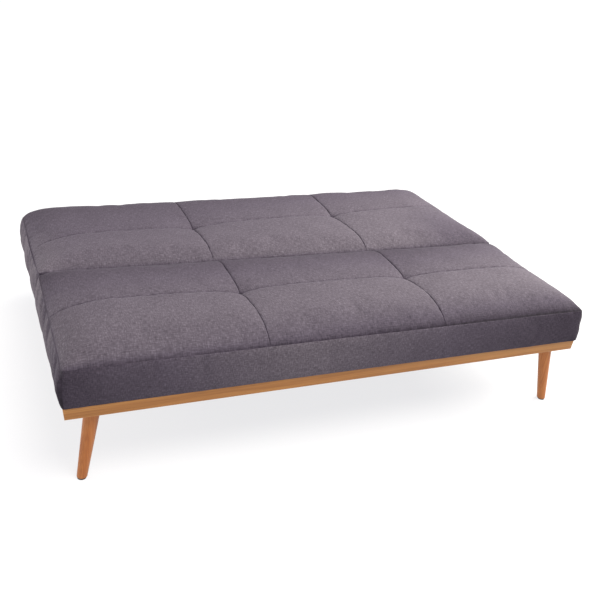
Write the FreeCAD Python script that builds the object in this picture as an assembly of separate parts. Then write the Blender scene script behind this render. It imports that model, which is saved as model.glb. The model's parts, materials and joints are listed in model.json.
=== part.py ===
import FreeCAD, Part
import math
import os
from FreeCAD import Vector

# Click-clack sofa bed, lying flat as a bed. +X is the sitter's left to right as seen from the front,
# -Y is the front edge, +Z is up. The origin is on the floor under the middle of the lying surface.

# ---- overall sizes
cushion_width = 1800.0
seat_depth = 556.0
back_depth = 622.0
junction_gap = 12.0
floor_to_rail = 226.0
rail_height = 37.0
cushion_thickness = 172.0

# ---- upholstery
cover_thickness = 2.0
foam_wrap = 10.0
junction_edge_radius = 50.0
top_edge_radius = 24.0
corner_radius = 30.0
junction_corner_radius = 12.0
cover_turn_under = 34.0
dust_cover_thickness = 1.0

# ---- hidden frames inside the two upholstered sections
frame_rail_height = 48.0
frame_rail_thickness = 25.0
slat_count = 11
slat_width = 60.0
slat_thickness = 9.0
slat_bow = 6.0
slat_clearance = 1.0
holder_wall = 2.5
holder_depth = 22.0

# ---- base
front_rail_thickness = 20.0
front_rail_end_slope = 4.0
front_rail_rounding = 3.0
bearer_width = 64.0
bearer_from_side = 85.0
bearer_rear_overhang = 125.0
cross_rail_thickness = 25.0
rest_pad_thickness = 6.0
rest_pad_width = 40.0
rest_pad_length = 60.0
rest_pad_clearance = 0.4
rest_pad_from_bearer_end = 60.0

# ---- legs
leg_top_radius = 23.5
leg_foot_radius = 15.0
leg_foot_rounding = 2.5
front_leg_inset = 44.0
rear_leg_inset = 45.0
front_leg_lean_out = 36.0
front_leg_lean_away = 19.0
rear_leg_lean_out = 12.0
rear_leg_lean_away = 39.0
leg_plate_size = 56.0
leg_plate_screw_margin = 7.0
leg_plate_thickness = 3.0
leg_bolt_radius = 4.0
leg_bolt_in_leg = 32.0
leg_bolt_in_bearer = 14.0
bolt_hole_clearance = 1.0
glide_thickness = 4.0
glide_radius = 13.0

# ---- hinges
pivot_below_top = 36.0
hinge_plate_thickness = 4.0
hinge_washer = 2.0
hinge_foot_height = 34.0
hinge_foot_above_frame_bottom = 7.0
hinge_foot_length = 150.0
eye_radius = 8.0
pin_radius = 4.0
pin_running_clearance = 0.05
pin_head_radius = 6.5
pin_head_thickness = 3.0
sector_radius = 44.0
sector_end = 287.0
notch_depth = 7.0
notch_ramp_side = 10.5
notch_lock_side = 4.6
lounge_angle = 38.0
upright_angle = 76.0
side_play = 0.1
pocket_side_clearance = 5.0
pocket_radial_clearance = 3.0

# ---- pawls
pawl_tip_angle = 262.0
pawl_tip_width = 5.0
pawl_tip_clearance = 0.6
pawl_finger_length = 8.0
pawl_pivot_beyond_rim = 22.0
pawl_pivot_angle = 238.0
pawl_boss_radius = 7.0
pawl_pin_radius = 3.0
pawl_tail_length = 16.0
pawl_arm_width = 8.0
spring_radius = 2.4
spring_wire = 0.9
spring_coils = 20
spring_peg_radius = 1.5

# ---- fasteners
screw_radius = 2.0
screw_head_radius = 4.0
screw_head_height = 2.2
screw_length = 24.0
bracket_screw_length = 16.0
frame_bolt_radius = 3.0
frame_bolt_head_radius = 6.0
frame_bolt_into_frame = 30.0
hinge_bolt_radius = 4.0
hinge_bolt_head_radius = 7.0
hinge_bolt_head_height = 4.0
hinge_bolt_spacing = 70.0
hinge_bolt_end_margin = 20.0
bracket_leg = 28.0
bracket_width = 20.0
bracket_thickness = 2.5
fixing_bracket_count = 5
fixing_bracket_from_bearer = 133.0
middle_bolt_from_bearer = 43.0
middle_bolt_count = 5

# ---- places worked out from the sizes above
total_depth = seat_depth + junction_gap + back_depth
y_front = -total_depth / 2
y_seat_rear = y_front + seat_depth
y_junction = y_seat_rear + junction_gap / 2
y_back_front = y_seat_rear + junction_gap
y_rear = total_depth / 2
x_side = cushion_width / 2
z_base = floor_to_rail
z_cushion = floor_to_rail + rail_height
z_top = z_cushion + cushion_thickness
z_pivot = z_top - pivot_below_top
frame_inset = cover_thickness + foam_wrap
z_frame = z_cushion + cover_thickness
z_frame_top = z_frame + frame_rail_height
x_frame = x_side - frame_inset
x_seat_plate = x_frame - frame_rail_thickness - hinge_plate_thickness
x_back_plate = x_seat_plate - hinge_washer - hinge_plate_thickness
x_pin_inner = x_back_plate - pin_head_thickness
x_pin_outer = x_seat_plate + hinge_plate_thickness + pin_head_thickness
z_hinge_foot = z_frame + hinge_foot_above_frame_bottom
pawl_pivot_radius = sector_radius + pawl_pivot_beyond_rim
pawl_pivot = (
    y_junction + pawl_pivot_radius * math.cos(math.radians(pawl_pivot_angle)),
    z_pivot + pawl_pivot_radius * math.sin(math.radians(pawl_pivot_angle)),
)
bearer_rear = y_rear - bearer_rear_overhang
bearer_centre_x = x_side - bearer_from_side
bearer_inner = bearer_centre_x - bearer_width / 2
fixing_bracket_span = 2 * (bearer_inner - fixing_bracket_from_bearer)
middle_bolt_span = 2 * (bearer_inner - middle_bolt_from_bearer)
y_middle_rail = y_seat_rear - frame_inset - cross_rail_thickness
z_slat = z_frame_top - slat_bow - slat_thickness - slat_clearance - holder_wall
pawl_tail = (pawl_pivot[0] - pawl_tail_length, pawl_pivot[1])
spring_peg = (pawl_tail[0], z_hinge_foot + hinge_foot_height / 2)


def save(name, shape):
    shape.exportStep("parts/" + name + ".step")
    print(name, "solids", len(shape.Solids), "volume cm3", round(shape.Volume / 1000, 1))


def box(low, high):
    size = [b - a for a, b in zip(low, high)]
    return Part.makeBox(size[0], size[1], size[2], Vector(*low))


def mirrored(shape):
    return shape.mirror(Vector(0, 0, 0), Vector(1, 0, 0))


def on_side(shape, side):
    return shape if side == "right" else mirrored(shape)


def both_sides(shape):
    return Part.makeCompound([mirrored(shape), shape])


def plate_from_outline(points, x_low, thickness):
    outline = Part.makePolygon([Vector(x_low, y, z) for y, z in points + points[:1]])
    return Part.Face(outline).extrude(Vector(thickness, 0, 0))


def disc(y, z, radius, x_low, thickness):
    return Part.makeCylinder(radius, thickness, Vector(x_low, y, z), Vector(1, 0, 0))


def polar(radius, degrees):
    angle = math.radians(degrees)
    return (y_junction + radius * math.cos(angle), z_pivot + radius * math.sin(angle))


def is_vertical(edge):
    return abs(edge.tangentAt(edge.FirstParameter).z) > 0.99


def round_upright_corners(block, y_corner, radius):
    corners = [e for e in block.Edges if is_vertical(e) and abs(e.CenterOfMass.y - y_corner) < 1]
    return block.makeFillet(radius, corners)


def edge_cutter(low, high, y_edge, radius):
    # what lies outside a quarter round along an upper edge that runs in X
    inward = 1 if y_edge < (low[1] + high[1]) / 2 else -1
    x_low = low[0] - 1
    length = high[0] - low[0] + 2
    y_centre = y_edge + inward * radius
    z_centre = high[2] - radius
    y_outside = y_edge - inward
    corner = box(
        (x_low, min(y_outside, y_centre), z_centre),
        (x_low + length, max(y_outside, y_centre), high[2] + 1),
    )
    return corner.cut(disc(y_centre, z_centre, radius, x_low, length))


def cushion_solid(y_low, y_high, junction_side, inset):
    # an upholstered block: upright corners rounded, a large roll along the junction edge
    # and a smaller one along the far edge
    low = (-x_side + inset, y_low + inset, z_cushion + inset)
    high = (x_side - inset, y_high - inset, z_top - inset)
    y_near = high[1] if junction_side == "rear" else low[1]
    y_far = low[1] if junction_side == "rear" else high[1]
    block = box(low, high)
    block = round_upright_corners(block, y_far, corner_radius - inset)
    block = round_upright_corners(block, y_near, junction_corner_radius - inset)
    block = block.cut(edge_cutter(low, high, y_near, junction_edge_radius - inset))
    return block.cut(edge_cutter(low, high, y_far, top_edge_radius - inset))


# ---- fasteners: each is a list of (head, shank) pairs, so that the shanks can also cut their holes

def screw(point, direction, length, radius=screw_radius, head=screw_head_radius, height=screw_head_height):
    along = Vector(*direction)
    along.normalize()
    start = Vector(*point)
    return (
        Part.makeCylinder(head, height, start - along * height, along),
        Part.makeCylinder(radius, length, start, along),
    )


def shanks(screws):
    return [shank for head, shank in screws]


def whole(screws):
    return Part.makeCompound([head.fuse(shank) for head, shank in screws])


def mirrored_screws(screws):
    return [(mirrored(head), mirrored(shank)) for head, shank in screws]


def drilled(shape, tools):
    for tool in tools:
        shape = shape.cut(tool)
    return shape


# ---- legs

class Leg:
    def __init__(self, y_top, lean_out, lean_y):
        self.top = Vector(bearer_centre_x, y_top, z_base)
        self.foot = Vector(bearer_centre_x + lean_out, y_top + lean_y, 0)
        self.axis = self.top - self.foot
        self.length = self.axis.Length
        self.axis.normalize()

    def at_height(self, z):
        return self.foot + self.axis * (z / self.axis.z)

    def solid(self):
        beyond = 20.0
        taper = (leg_top_radius - leg_foot_radius) / self.length
        cone = Part.makeCone(
            leg_foot_radius - taper * beyond,
            leg_top_radius + taper * beyond,
            self.length + 2 * beyond,
            self.foot - self.axis * beyond,
            self.axis,
        )
        z_head = z_base - leg_plate_thickness
        slab = box(
            (self.foot.x - 200, self.foot.y - 200, glide_thickness),
            (self.foot.x + 200, self.foot.y + 200, z_head),
        )
        leg = cone.common(slab)
        rim = [e for e in leg.Edges if abs(e.BoundBox.ZMax - glide_thickness) < 0.01]
        leg = leg.makeFillet(leg_foot_rounding, rim)
        return leg.cut(self.bolt())

    def bolt(self):
        head = self.at_height(z_base - leg_plate_thickness)
        start = head - self.axis * leg_bolt_in_leg
        return Part.makeCylinder(
            leg_bolt_radius, leg_bolt_in_leg + leg_plate_thickness + leg_bolt_in_bearer, start, self.axis
        )

    def bearer_hole(self):
        start = self.at_height(z_base - leg_plate_thickness)
        depth = leg_plate_thickness + leg_bolt_in_bearer + bolt_hole_clearance
        return Part.makeCylinder(leg_bolt_radius + bolt_hole_clearance, depth, start, self.axis)

    def screws(self):
        reach = leg_plate_size / 2 - leg_plate_screw_margin
        z_plate = z_base - leg_plate_thickness
        return [
            screw((self.top.x + i * reach, self.top.y + j * reach, z_plate), (0, 0, 1), screw_length)
            for i in (-1, 1)
            for j in (-1, 1)
        ]

    def plate(self):
        half = leg_plate_size / 2
        plate = box(
            (self.top.x - half, self.top.y - half, z_base - leg_plate_thickness),
            (self.top.x + half, self.top.y + half, z_base),
        )
        return drilled(plate.cut(self.bolt()), shanks(self.screws()))

    def glide(self):
        return Part.makeCylinder(glide_radius, glide_thickness, Vector(self.foot.x, self.foot.y, 0))


legs = {
    "front": Leg(y_front + front_leg_inset, front_leg_lean_out, -front_leg_lean_away),
    "rear": Leg(bearer_rear - rear_leg_inset, rear_leg_lean_out, rear_leg_lean_away),
}


def save_legs():
    bolts = []
    plate_screws = []
    for row, leg in legs.items():
        for side in ("left", "right"):
            save("leg_" + row + "_" + side, on_side(leg.solid(), side))
            save("leg_plate_" + row + "_" + side, on_side(leg.plate(), side))
            save("foot_glide_" + row + "_" + side, on_side(leg.glide(), side))
            bolts.append(on_side(leg.bolt(), side))
        plate_screws += leg.screws() + mirrored_screws(leg.screws())
    save("leg_bolts", Part.makeCompound(bolts))
    save("leg_plate_screws", whole(plate_screws))


# ---- base

def bracket(corner, first, second, width_axis):
    # a steel angle: two flat legs that meet at the corner point and run along first and second
    corner = Vector(*corner)
    first = Vector(*first)
    second = Vector(*second)
    width = Vector(*width_axis) * bracket_width
    outline = [
        corner,
        corner + first * bracket_leg,
        corner + first * bracket_leg + second * bracket_thickness,
        corner + first * bracket_thickness + second * bracket_thickness,
        corner + first * bracket_thickness + second * bracket_leg,
        corner + second * bracket_leg,
        corner,
    ]
    face = Part.Face(Part.makePolygon(outline))
    return face.extrude(width).translated(width * -0.5)


def bracket_screws(corner, first, second):
    corner = Vector(*corner)
    first = Vector(*first)
    second = Vector(*second)
    out = bracket_leg * 0.62
    on_first = corner + first * out + second * bracket_thickness
    on_second = corner + second * out + first * bracket_thickness
    return [
        screw(tuple(on_first), tuple(second * -1), bracket_screw_length),
        screw(tuple(on_second), tuple(first * -1), bracket_screw_length),
    ]


def corner_bracket_places():
    # right-hand side only: (corner, along the cross rail, along the bearer)
    z_mid = z_base + (rail_height - rest_pad_thickness) / 2
    y_rail_inner = y_front + front_rail_thickness
    return [
        ((bearer_inner, y_rail_inner, z_mid), (-1, 0, 0), (0, 1, 0)),
        ((bearer_inner, y_middle_rail, z_mid), (-1, 0, 0), (0, -1, 0)),
        ((bearer_inner, bearer_rear - cross_rail_thickness, z_mid), (-1, 0, 0), (0, -1, 0)),
    ]


def fixing_bracket_places():
    # angles that hang the seat frame's front member on the front rail
    step = fixing_bracket_span / (fixing_bracket_count - 1)
    y_rail_inner = y_front + front_rail_thickness
    return [
        ((-fixing_bracket_span / 2 + step * i, y_rail_inner, z_cushion), (0, 1, 0), (0, 0, -1))
        for i in range(fixing_bracket_count)
    ]


def corner_screws():
    right = []
    for corner, first, second in corner_bracket_places():
        right += bracket_screws(corner, first, second)
    return right + mirrored_screws(right)


def fixing_screws():
    # the screw through the flat leg runs up into the seat frame, the other forwards into the rail
    screws = []
    for corner, first, second in fixing_bracket_places():
        screws += bracket_screws(corner, first, second)
    return screws


def middle_bolts():
    # bolts from below, through the middle rail and into the seat frame's rear member
    y_bolt = y_middle_rail + cross_rail_thickness / 2
    length = rail_height + cover_thickness + frame_bolt_into_frame
    step = middle_bolt_span / (middle_bolt_count - 1)
    return [
        screw(
            (-middle_bolt_span / 2 + step * i, y_bolt, z_base),
            (0, 0, 1),
            length,
            frame_bolt_radius,
            frame_bolt_head_radius,
        )
        for i in range(middle_bolt_count)
    ]


def make_front_rail():
    x_low = x_side - front_rail_end_slope
    outline = [
        Vector(-x_side, y_front, z_cushion),
        Vector(x_side, y_front, z_cushion),
        Vector(x_low, y_front, z_base),
        Vector(-x_low, y_front, z_base),
        Vector(-x_side, y_front, z_cushion),
    ]
    rail = Part.Face(Part.makePolygon(outline)).extrude(Vector(0, front_rail_thickness, 0))
    front_edges = [
        e for e in rail.Edges if e.Length > 1000 and e.CenterOfMass.z < z_base + 1 and e.CenterOfMass.y < y_front + 1
    ]
    rail = rail.makeFillet(front_rail_rounding, front_edges)
    return drilled(rail, shanks(corner_screws() + fixing_screws()))


def make_bearer():
    # full height under the seat, lower behind it to leave room for the pads under the back
    z_low_top = z_cushion - rest_pad_thickness
    outline = [
        (y_front + front_rail_thickness, z_base),
        (bearer_rear, z_base),
        (bearer_rear, z_low_top),
        (y_seat_rear, z_low_top),
        (y_seat_rear, z_cushion),
        (y_front + front_rail_thickness, z_cushion),
    ]
    bearer = plate_from_outline(outline, bearer_inner, bearer_width)
    holes = [leg.bearer_hole() for leg in legs.values()]
    for leg in legs.values():
        holes += shanks(leg.screws())
    return drilled(bearer, holes + shanks(corner_screws()))


def save_base():
    bearer = make_bearer()
    save("front_rail", make_front_rail())
    save("base_bearer_left", mirrored(bearer))
    save("base_bearer_right", bearer)
    middle = box(
        (-bearer_inner, y_middle_rail, z_base),
        (bearer_inner, y_middle_rail + cross_rail_thickness, z_cushion),
    )
    save("base_middle_rail", drilled(middle, shanks(corner_screws() + middle_bolts())))
    rear = box(
        (-bearer_inner, bearer_rear - cross_rail_thickness, z_base),
        (bearer_inner, bearer_rear, z_cushion - rest_pad_thickness),
    )
    save("base_rear_rail", drilled(rear, shanks(corner_screws())))
    angles = [bracket(*place, (0, 0, 1)) for place in corner_bracket_places()]
    angles = [drilled(angle, shanks(corner_screws())) for angle in angles]
    save("corner_brackets", Part.makeCompound(angles + [mirrored(angle) for angle in angles]))
    hangers = [drilled(bracket(*place, (1, 0, 0)), shanks(fixing_screws())) for place in fixing_bracket_places()]
    save("fixing_brackets", Part.makeCompound(hangers))
    save("base_screws", whole(corner_screws() + fixing_screws()))
    save("seat_frame_bolts", whole(middle_bolts()))
    y_pad = bearer_rear - rest_pad_from_bearer_end
    pad = box(
        (bearer_centre_x - rest_pad_width / 2, y_pad - rest_pad_length / 2, z_cushion - rest_pad_thickness),
        (bearer_centre_x + rest_pad_width / 2, y_pad + rest_pad_length / 2, z_cushion - rest_pad_clearance),
    )
    save("rest_pads", both_sides(pad))


# ---- slats

def slat_centres():
    reach = x_frame - frame_rail_thickness - 1.5 * slat_width
    return [-reach + 2 * reach * i / (slat_count - 1) for i in range(slat_count)]


def slat(x, y_low, y_high):
    # a thin laminated slat, bowed upwards between its ends
    middle = (y_low + y_high) / 2
    z_upper = z_slat + slat_thickness
    bottom = Part.Arc(Vector(x, y_low, z_slat), Vector(x, middle, z_slat + slat_bow), Vector(x, y_high, z_slat))
    top = Part.Arc(Vector(x, y_high, z_upper), Vector(x, middle, z_upper + slat_bow), Vector(x, y_low, z_upper))
    rear = Part.LineSegment(Vector(x, y_high, z_slat), Vector(x, y_high, z_upper))
    front = Part.LineSegment(Vector(x, y_low, z_upper), Vector(x, y_low, z_slat))
    profile = Part.Wire([bottom.toShape(), rear.toShape(), top.toShape(), front.toShape()])
    return Part.Face(profile).extrude(Vector(slat_width, 0, 0)).translated(Vector(-slat_width / 2, 0, 0))


def slat_holder(x, y_wall, inward):
    # a plastic cap on a rail's inner face; the slat's end sits in its mouth
    z_low = z_slat - slat_clearance - holder_wall
    z_high = z_slat + slat_thickness + slat_clearance + holder_wall
    half = slat_width / 2 + slat_clearance + holder_wall
    y_mouth = y_wall + inward * holder_depth
    y_floor = y_wall + inward * holder_wall
    y_beyond = y_mouth + inward
    cap = box((x - half, min(y_wall, y_mouth), z_low), (x + half, max(y_wall, y_mouth), z_high))
    mouth = box(
        (x - half + holder_wall, min(y_floor, y_beyond), z_low + holder_wall),
        (x + half - holder_wall, max(y_floor, y_beyond), z_high - holder_wall),
    )
    return cap.cut(mouth)


def section_slats(y_low, y_high):
    end_gap = frame_rail_thickness + holder_wall + slat_clearance
    return Part.makeCompound([slat(x, y_low + end_gap, y_high - end_gap) for x in slat_centres()])


def section_holders(y_low, y_high):
    y_first = y_low + frame_rail_thickness
    y_last = y_high - frame_rail_thickness
    caps = [slat_holder(x, y_first, 1) for x in slat_centres()]
    caps += [slat_holder(x, y_last, -1) for x in slat_centres()]
    return Part.makeCompound(caps)


# ---- hinge plates and pawls

def seat_hinge_bolts():
    y_first = y_seat_rear - frame_inset - hinge_foot_length + hinge_bolt_end_margin
    z_bolt = z_hinge_foot + hinge_foot_height / 2
    return hinge_bolts(x_seat_plate, [y_first, y_first + hinge_bolt_spacing], z_bolt)


def back_hinge_bolts():
    y_last = y_back_front + frame_inset + hinge_foot_length - hinge_bolt_end_margin
    z_bolt = z_hinge_foot + hinge_foot_height / 2
    return hinge_bolts(x_back_plate, [y_last - hinge_bolt_spacing, y_last], z_bolt)


def hinge_bolts(x_plate, y_places, z_bolt):
    length = x_frame - cover_thickness - x_plate
    return [
        screw((x_plate, y, z_bolt), (1, 0, 0), length, hinge_bolt_radius, hinge_bolt_head_radius, hinge_bolt_head_height)
        for y in y_places
    ]


def seat_plate():
    # a foot along the inside of the seat's side rail, and a neck up to the eye
    y_end = y_seat_rear - frame_inset - hinge_bolt_radius
    y_start = y_seat_rear - frame_inset - hinge_foot_length
    z_foot_top = z_hinge_foot + hinge_foot_height
    outline = [
        (y_start, z_hinge_foot),
        (y_end, z_hinge_foot),
        (y_end, z_frame_top),
        (y_junction, z_pivot - eye_radius),
        (y_junction - eye_radius, z_pivot),
        (pawl_pivot[0] - eye_radius, pawl_pivot[1] + eye_radius),
        (pawl_pivot[0] - pawl_tail_length - eye_radius, z_foot_top),
        (y_start, z_foot_top),
    ]
    plate = plate_from_outline(outline, x_seat_plate, hinge_plate_thickness)
    plate = plate.fuse(disc(y_junction, z_pivot, eye_radius, x_seat_plate, hinge_plate_thickness))
    peg_length = hinge_plate_thickness + hinge_washer
    peg = disc(spring_peg[0], spring_peg[1], spring_peg_radius, x_back_plate, peg_length)
    plate = plate.fuse(peg).removeSplitter()
    plate = plate.cut(disc(y_junction, z_pivot, pin_radius, x_seat_plate - 1, hinge_plate_thickness + 2))
    plate = plate.cut(disc(*pawl_pivot, pawl_pin_radius, x_seat_plate - 1, hinge_plate_thickness + 2))
    return drilled(plate, shanks(seat_hinge_bolts()))


def ring_slice(inner, outer, start, end, x_low, thickness):
    # part of a ring about the hinge axis, from one polar angle to another
    middle = (start + end) / 2
    points = [Vector(x_low, *polar(radius, angle)) for radius in (inner, outer) for angle in (start, middle, end)]
    inner_arc = Part.Arc(points[0], points[1], points[2]).toShape()
    outer_arc = Part.Arc(points[3], points[4], points[5]).toShape()
    first = Part.LineSegment(points[3], points[0]).toShape()
    last = Part.LineSegment(points[2], points[5]).toShape()
    wire = Part.Wire([inner_arc, last, outer_arc, first])
    return Part.Face(wire).extrude(Vector(thickness, 0, 0))


def sector():
    # the toothed part of the back's plate; its open end lets the pawls drop past the upright stop
    lock_end = pawl_tip_angle - upright_angle + notch_lock_side
    hub = eye_radius - 1.0
    ring = ring_slice(hub, sector_radius, lock_end, sector_end, x_back_plate, hinge_plate_thickness)
    for angle in (pawl_tip_angle, pawl_tip_angle - lounge_angle):
        notch = ring_slice(
            sector_radius - notch_depth,
            sector_radius + 2,
            angle - notch_ramp_side,
            angle + notch_lock_side,
            x_back_plate - 1,
            hinge_plate_thickness + 2,
        )
        ring = ring.cut(notch)
    return ring


def back_plate():
    # a foot along the inside of the back's side rail, an arm up to the eye, and the toothed sector
    y_start = y_back_front + frame_inset + hinge_bolt_radius
    y_end = y_back_front + frame_inset + hinge_foot_length
    z_foot_top = z_hinge_foot + hinge_foot_height
    outline = [
        (y_start, z_hinge_foot),
        (y_end, z_hinge_foot),
        (y_end, z_foot_top),
        (y_start + 2 * eye_radius, z_foot_top),
        (y_junction + eye_radius, z_pivot),
        (y_junction, z_pivot),
        polar(sector_radius, sector_end),
        (y_start, z_frame_top),
    ]
    plate = plate_from_outline(outline, x_back_plate, hinge_plate_thickness)
    plate = plate.fuse(disc(y_junction, z_pivot, eye_radius, x_back_plate, hinge_plate_thickness))
    plate = plate.fuse(sector()).removeSplitter()
    bore = pin_radius + pin_running_clearance
    plate = plate.cut(disc(y_junction, z_pivot, bore, x_back_plate - 1, hinge_plate_thickness + 2))
    return drilled(plate, shanks(back_hinge_bolts()))


def hinge_pin():
    x_head = x_back_plate - side_play - pin_head_thickness
    x_end = x_seat_plate + hinge_plate_thickness
    x_collar = x_back_plate + hinge_plate_thickness + side_play
    shaft = disc(y_junction, z_pivot, pin_radius, x_head, x_end + pin_head_thickness - x_head)
    head = disc(y_junction, z_pivot, pin_head_radius, x_head, pin_head_thickness)
    collar = disc(y_junction, z_pivot, pin_head_radius, x_collar, x_seat_plate - x_collar)
    rivet = disc(y_junction, z_pivot, pin_head_radius, x_end, pin_head_thickness)
    return shaft.fuse([head, collar, rivet]).removeSplitter()


def pawl_pin():
    x_head = x_back_plate - side_play - pin_head_thickness / 2
    x_end = x_seat_plate + hinge_plate_thickness
    x_collar = x_back_plate + hinge_plate_thickness + side_play
    collar_radius = (pawl_pin_radius + pawl_boss_radius) / 2
    shaft = disc(*pawl_pivot, pawl_pin_radius, x_head, x_end - x_head)
    head = disc(*pawl_pivot, collar_radius, x_head, pin_head_thickness / 2)
    collar = disc(*pawl_pivot, collar_radius, x_collar, x_seat_plate - x_collar)
    return shaft.fuse([head, collar]).removeSplitter()


def strip(start, end, width, x_low, thickness):
    # a flat bar between two points of the YZ plane
    dy = end[0] - start[0]
    dz = end[1] - start[1]
    scale = width / 2 / math.hypot(dy, dz)
    ny = -dz * scale
    nz = dy * scale
    outline = [
        (start[0] + ny, start[1] + nz),
        (start[0] - ny, start[1] - nz),
        (end[0] - ny, end[1] - nz),
        (end[0] + ny, end[1] + nz),
    ]
    return plate_from_outline(outline, x_low, thickness)


def pawl():
    # shown riding on the sector's rim; turning it towards the hinge axis drops the tip into a notch
    tip_radius = sector_radius + pawl_tip_clearance
    elbow = polar(tip_radius + pawl_finger_length + pawl_arm_width / 2, pawl_tip_angle)
    arm = strip(pawl_pivot, elbow, pawl_arm_width, x_back_plate, hinge_plate_thickness)
    finger = strip(
        polar(tip_radius, pawl_tip_angle), elbow, pawl_tip_width, x_back_plate, hinge_plate_thickness
    )
    tail_width = pawl_arm_width - 2.0
    tail = strip(pawl_pivot, pawl_tail, tail_width, x_back_plate, hinge_plate_thickness)
    boss = disc(*pawl_pivot, pawl_boss_radius, x_back_plate, hinge_plate_thickness)
    toe = disc(*elbow, pawl_arm_width / 2, x_back_plate, hinge_plate_thickness)
    lever = arm.fuse([finger, tail, boss, toe]).removeSplitter()
    bore = pawl_pin_radius + pin_running_clearance
    return lever.cut(disc(*pawl_pivot, bore, x_back_plate - 1, hinge_plate_thickness + 2))


def pawl_spring():
    # a close-wound pull spring standing between the pawl's tail and a peg on the seat's plate
    x_centre = x_back_plate + hinge_plate_thickness / 2
    z_low = spring_peg[1] + spring_peg_radius
    z_high = pawl_tail[1] - pawl_arm_width / 2
    pitch = (z_high - z_low) / spring_coils
    inner = spring_radius - spring_wire
    points = [Vector(x_centre + inner, pawl_tail[0], z_low)]
    edges = []
    for i in range(spring_coils):
        z = z_low + pitch * i
        start = Vector(x_centre + inner, pawl_tail[0], z)
        crest = Vector(x_centre + spring_radius, pawl_tail[0], z + pitch / 2)
        end = Vector(x_centre + inner, pawl_tail[0], z + pitch)
        edges.append(Part.Arc(start, crest, end).toShape())
    on_axis_low = Vector(x_centre, pawl_tail[0], z_low)
    on_axis_high = Vector(x_centre, pawl_tail[0], z_high)
    top_end = Vector(x_centre + inner, pawl_tail[0], z_high)
    edges.append(Part.LineSegment(top_end, on_axis_high).toShape())
    edges.append(Part.LineSegment(on_axis_high, on_axis_low).toShape())
    edges.append(Part.LineSegment(on_axis_low, points[0]).toShape())
    return Part.Face(Part.Wire(edges)).revolve(on_axis_low, Vector(0, 0, 1), 360)


def save_hinges():
    for side in ("left", "right"):
        save("seat_hinge_plate_" + side, on_side(seat_plate(), side))
        save("back_hinge_plate_" + side, on_side(back_plate(), side))
        save("hinge_pawl_" + side, on_side(pawl(), side))
        save("pawl_spring_" + side, on_side(pawl_spring(), side))
    save("hinge_pins", both_sides(hinge_pin()))
    save("pawl_pins", both_sides(pawl_pin()))
    save("seat_hinge_bolts", whole(seat_hinge_bolts() + mirrored_screws(seat_hinge_bolts())))
    save("back_hinge_bolts", whole(back_hinge_bolts() + mirrored_screws(back_hinge_bolts())))


# ---- upholstery

def seat_pockets():
    # room in the seat for the swinging sector, the pawl and the seat's own plate
    x_low = x_pin_inner - pocket_side_clearance
    thickness = x_pin_outer + pocket_side_clearance - x_low
    ceiling = z_pivot + eye_radius + pocket_radial_clearance
    swept = disc(y_junction, z_pivot, sector_radius + pocket_radial_clearance, x_low, thickness)
    swept = swept.cut(box((x_low - 1, y_front, ceiling), (x_low + thickness + 1, y_rear, z_top + 1)))
    room = box(
        (x_low, pawl_tail[0] - pawl_boss_radius - pocket_radial_clearance, z_frame_top - 1),
        (x_low + thickness, y_junction, z_pivot),
    )
    pocket = swept.fuse(room)
    return [pocket, mirrored(pocket)]


def back_pockets():
    # room in the back for the fixed eye, and for its own plate
    x_low = x_pin_inner - pocket_side_clearance
    thickness = x_pin_outer + pocket_side_clearance - x_low
    eye_room = disc(y_junction, z_pivot, eye_radius + 2 * pocket_radial_clearance, x_low, thickness)
    y_deep = y_back_front + frame_inset + hinge_bolt_radius + 2 * eye_radius + pocket_radial_clearance
    own_plate = box(
        (x_back_plate - 1, y_junction, z_frame_top - 1),
        (x_back_plate + hinge_plate_thickness + 1, y_deep, z_pivot + eye_radius),
    )
    pocket = eye_room.fuse(own_plate)
    return [pocket, mirrored(pocket)]


def make_cover(y_low, y_high, junction_side):
    # a fabric sleeve open underneath, where its edge turns in below the frame
    outer = cushion_solid(y_low, y_high, junction_side, 0.0)
    inner = cushion_solid(y_low, y_high, junction_side, cover_thickness)
    turn = cover_turn_under
    window = box(
        (-x_side + turn, y_low + turn, z_cushion - 1),
        (x_side - turn, y_high - turn, z_cushion + cover_thickness + 1),
    )
    return outer.cut(inner).cut(window)


def make_foam(y_low, y_high, junction_side):
    # a foam block over the frame with a thin wrap down its sides
    foam = cushion_solid(y_low, y_high, junction_side, cover_thickness)
    frame_room = box(
        (-x_frame, y_low + frame_inset, z_cushion - 1),
        (x_frame, y_high - frame_inset, z_frame_top),
    )
    return foam.cut(frame_room)


def make_dust_cover(y_low, y_high):
    turn = cover_turn_under
    return box(
        (-x_side + turn, y_low + turn, z_cushion),
        (x_side - turn, y_high - turn, z_cushion + dust_cover_thickness),
    )


def save_seat():
    y_low = y_front + frame_inset
    y_high = y_seat_rear - frame_inset
    x_in = x_frame - frame_rail_thickness
    side = box((x_in, y_low, z_frame), (x_frame, y_high, z_frame_top))
    side = drilled(side, shanks(seat_hinge_bolts()))
    front = box((-x_in, y_low, z_frame), (x_in, y_low + frame_rail_thickness, z_frame_top))
    rear = box(
        (-x_seat_plate, y_high - frame_rail_thickness, z_frame), (x_seat_plate, y_high, z_frame_top)
    )
    save("seat_frame_front", drilled(front, shanks(fixing_screws())))
    save("seat_frame_rear", drilled(rear, shanks(middle_bolts())))
    save("seat_frame_left", mirrored(side))
    save("seat_frame_right", side)
    save("seat_slats", section_slats(y_low, y_high))
    save("seat_slat_holders", section_holders(y_low, y_high))
    save("seat_foam", drilled(make_foam(y_front, y_seat_rear, "rear"), seat_pockets()))
    cover = make_cover(y_front, y_seat_rear, "rear")
    cover = drilled(cover, seat_pockets() + shanks(fixing_screws() + middle_bolts()))
    save("seat_cover", cover)
    save("seat_dust_cover", drilled(make_dust_cover(y_front, y_seat_rear), shanks(fixing_screws())))


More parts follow.
